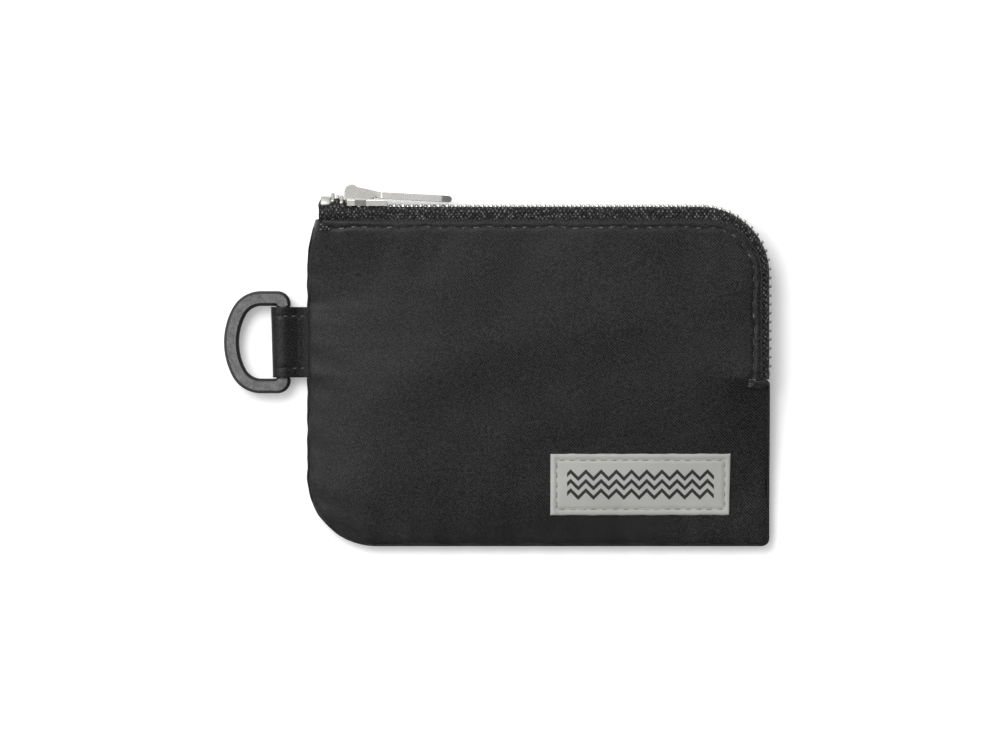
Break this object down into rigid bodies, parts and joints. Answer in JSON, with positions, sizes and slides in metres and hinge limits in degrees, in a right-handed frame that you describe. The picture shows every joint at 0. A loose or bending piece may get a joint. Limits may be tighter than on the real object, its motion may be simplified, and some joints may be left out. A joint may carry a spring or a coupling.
{
  "type": "zippered pouch",
  "caption": "Flat fabric pouch with a metal zip along its top and one side, a slider with a swinging pull, a ring on a side strap and a sewn-on label.",
  "frame": {"origin": "middle of the pouch's flat back face, half way along its width and height", "axes": "+Z out of the front of the pouch, +Y towards the zipped top edge, +X towards the zipped side and away from the ring"},
  "size_m": [0.151, 0.1002, 0.0121],
  "materials": {
    "body_twill": "satin nylon twill",
    "lining_cloth": "plain weave",
    "binding_tape": "ribbed tape",
    "zip_tape": "coarse woven tape",
    "zip_teeth": "nickel finish",
    "zip_stops": "nickel finish",
    "slider_metal": "nickel silver",
    "pull_metal": "nickel silver",
    "spring_steel": "spring steel",
    "ring_plastic": "fine grain",
    "strap_cloth": "satin nylon twill",
    "black_thread": "polyester thread",
    "label_cloth": "woven satin",
    "label_thread": "polyester thread"
  },
  "bodies": {
    "pouch": {"front_panel": "body_twill", "back_panel": "body_twill", "front_lining": "lining_cloth", "back_lining": "lining_cloth", "seam_binding": "binding_tape", "front_zip_tape": "zip_tape", "back_zip_tape": "zip_tape", "front_teeth": "zip_teeth", "back_teeth": "zip_teeth", "front_top_stop": "zip_stops", "back_top_stop": "zip_stops", "bottom_stop": "zip_stops", "woven_label": "label_cloth", "label_stitching": "label_thread", "front_topstitch": "black_thread", "back_topstitch": "black_thread", "zip_end_bartack": "black_thread", "strap_seam_end": "strap_cloth"},
    "slider": {"slider_body": "slider_metal", "slider_crown": "slider_metal", "slider_lock_spring": "spring_steel"},
    "pull": {"pull_tab": "pull_metal"},
    "strap": {"ring_strap": "strap_cloth", "strap_stitching": "black_thread"},
    "ring": {"d_ring": "ring_plastic"}
  },
  "joints": [
    {"name": "zipper_slide", "type": "slide", "parent": "pouch", "child": "slider", "axis": [1, 0, 0], "range_m": [0, 0.084], "deforming": ["front_teeth", "back_teeth"]},
    {"name": "pull_swing", "type": "hinge", "parent": "slider", "child": "pull", "pos_m": [-0.0518, 0.051, 0.0057], "axis": [0, 0, 1], "range_deg": [0, 165]},
    {"name": "strap_flex", "type": "hinge", "parent": "pouch", "child": "strap", "pos_m": [-0.0652, 0.0092, 0.00305], "axis": [0, 1, 0], "range_deg": [-75, 75]},
    {"name": "ring_swing", "type": "hinge", "parent": "strap", "child": "ring", "pos_m": [-0.07065, 0.0092, 0.00305], "axis": [0, 1, 0], "range_deg": [-80, 80]}
  ]
}
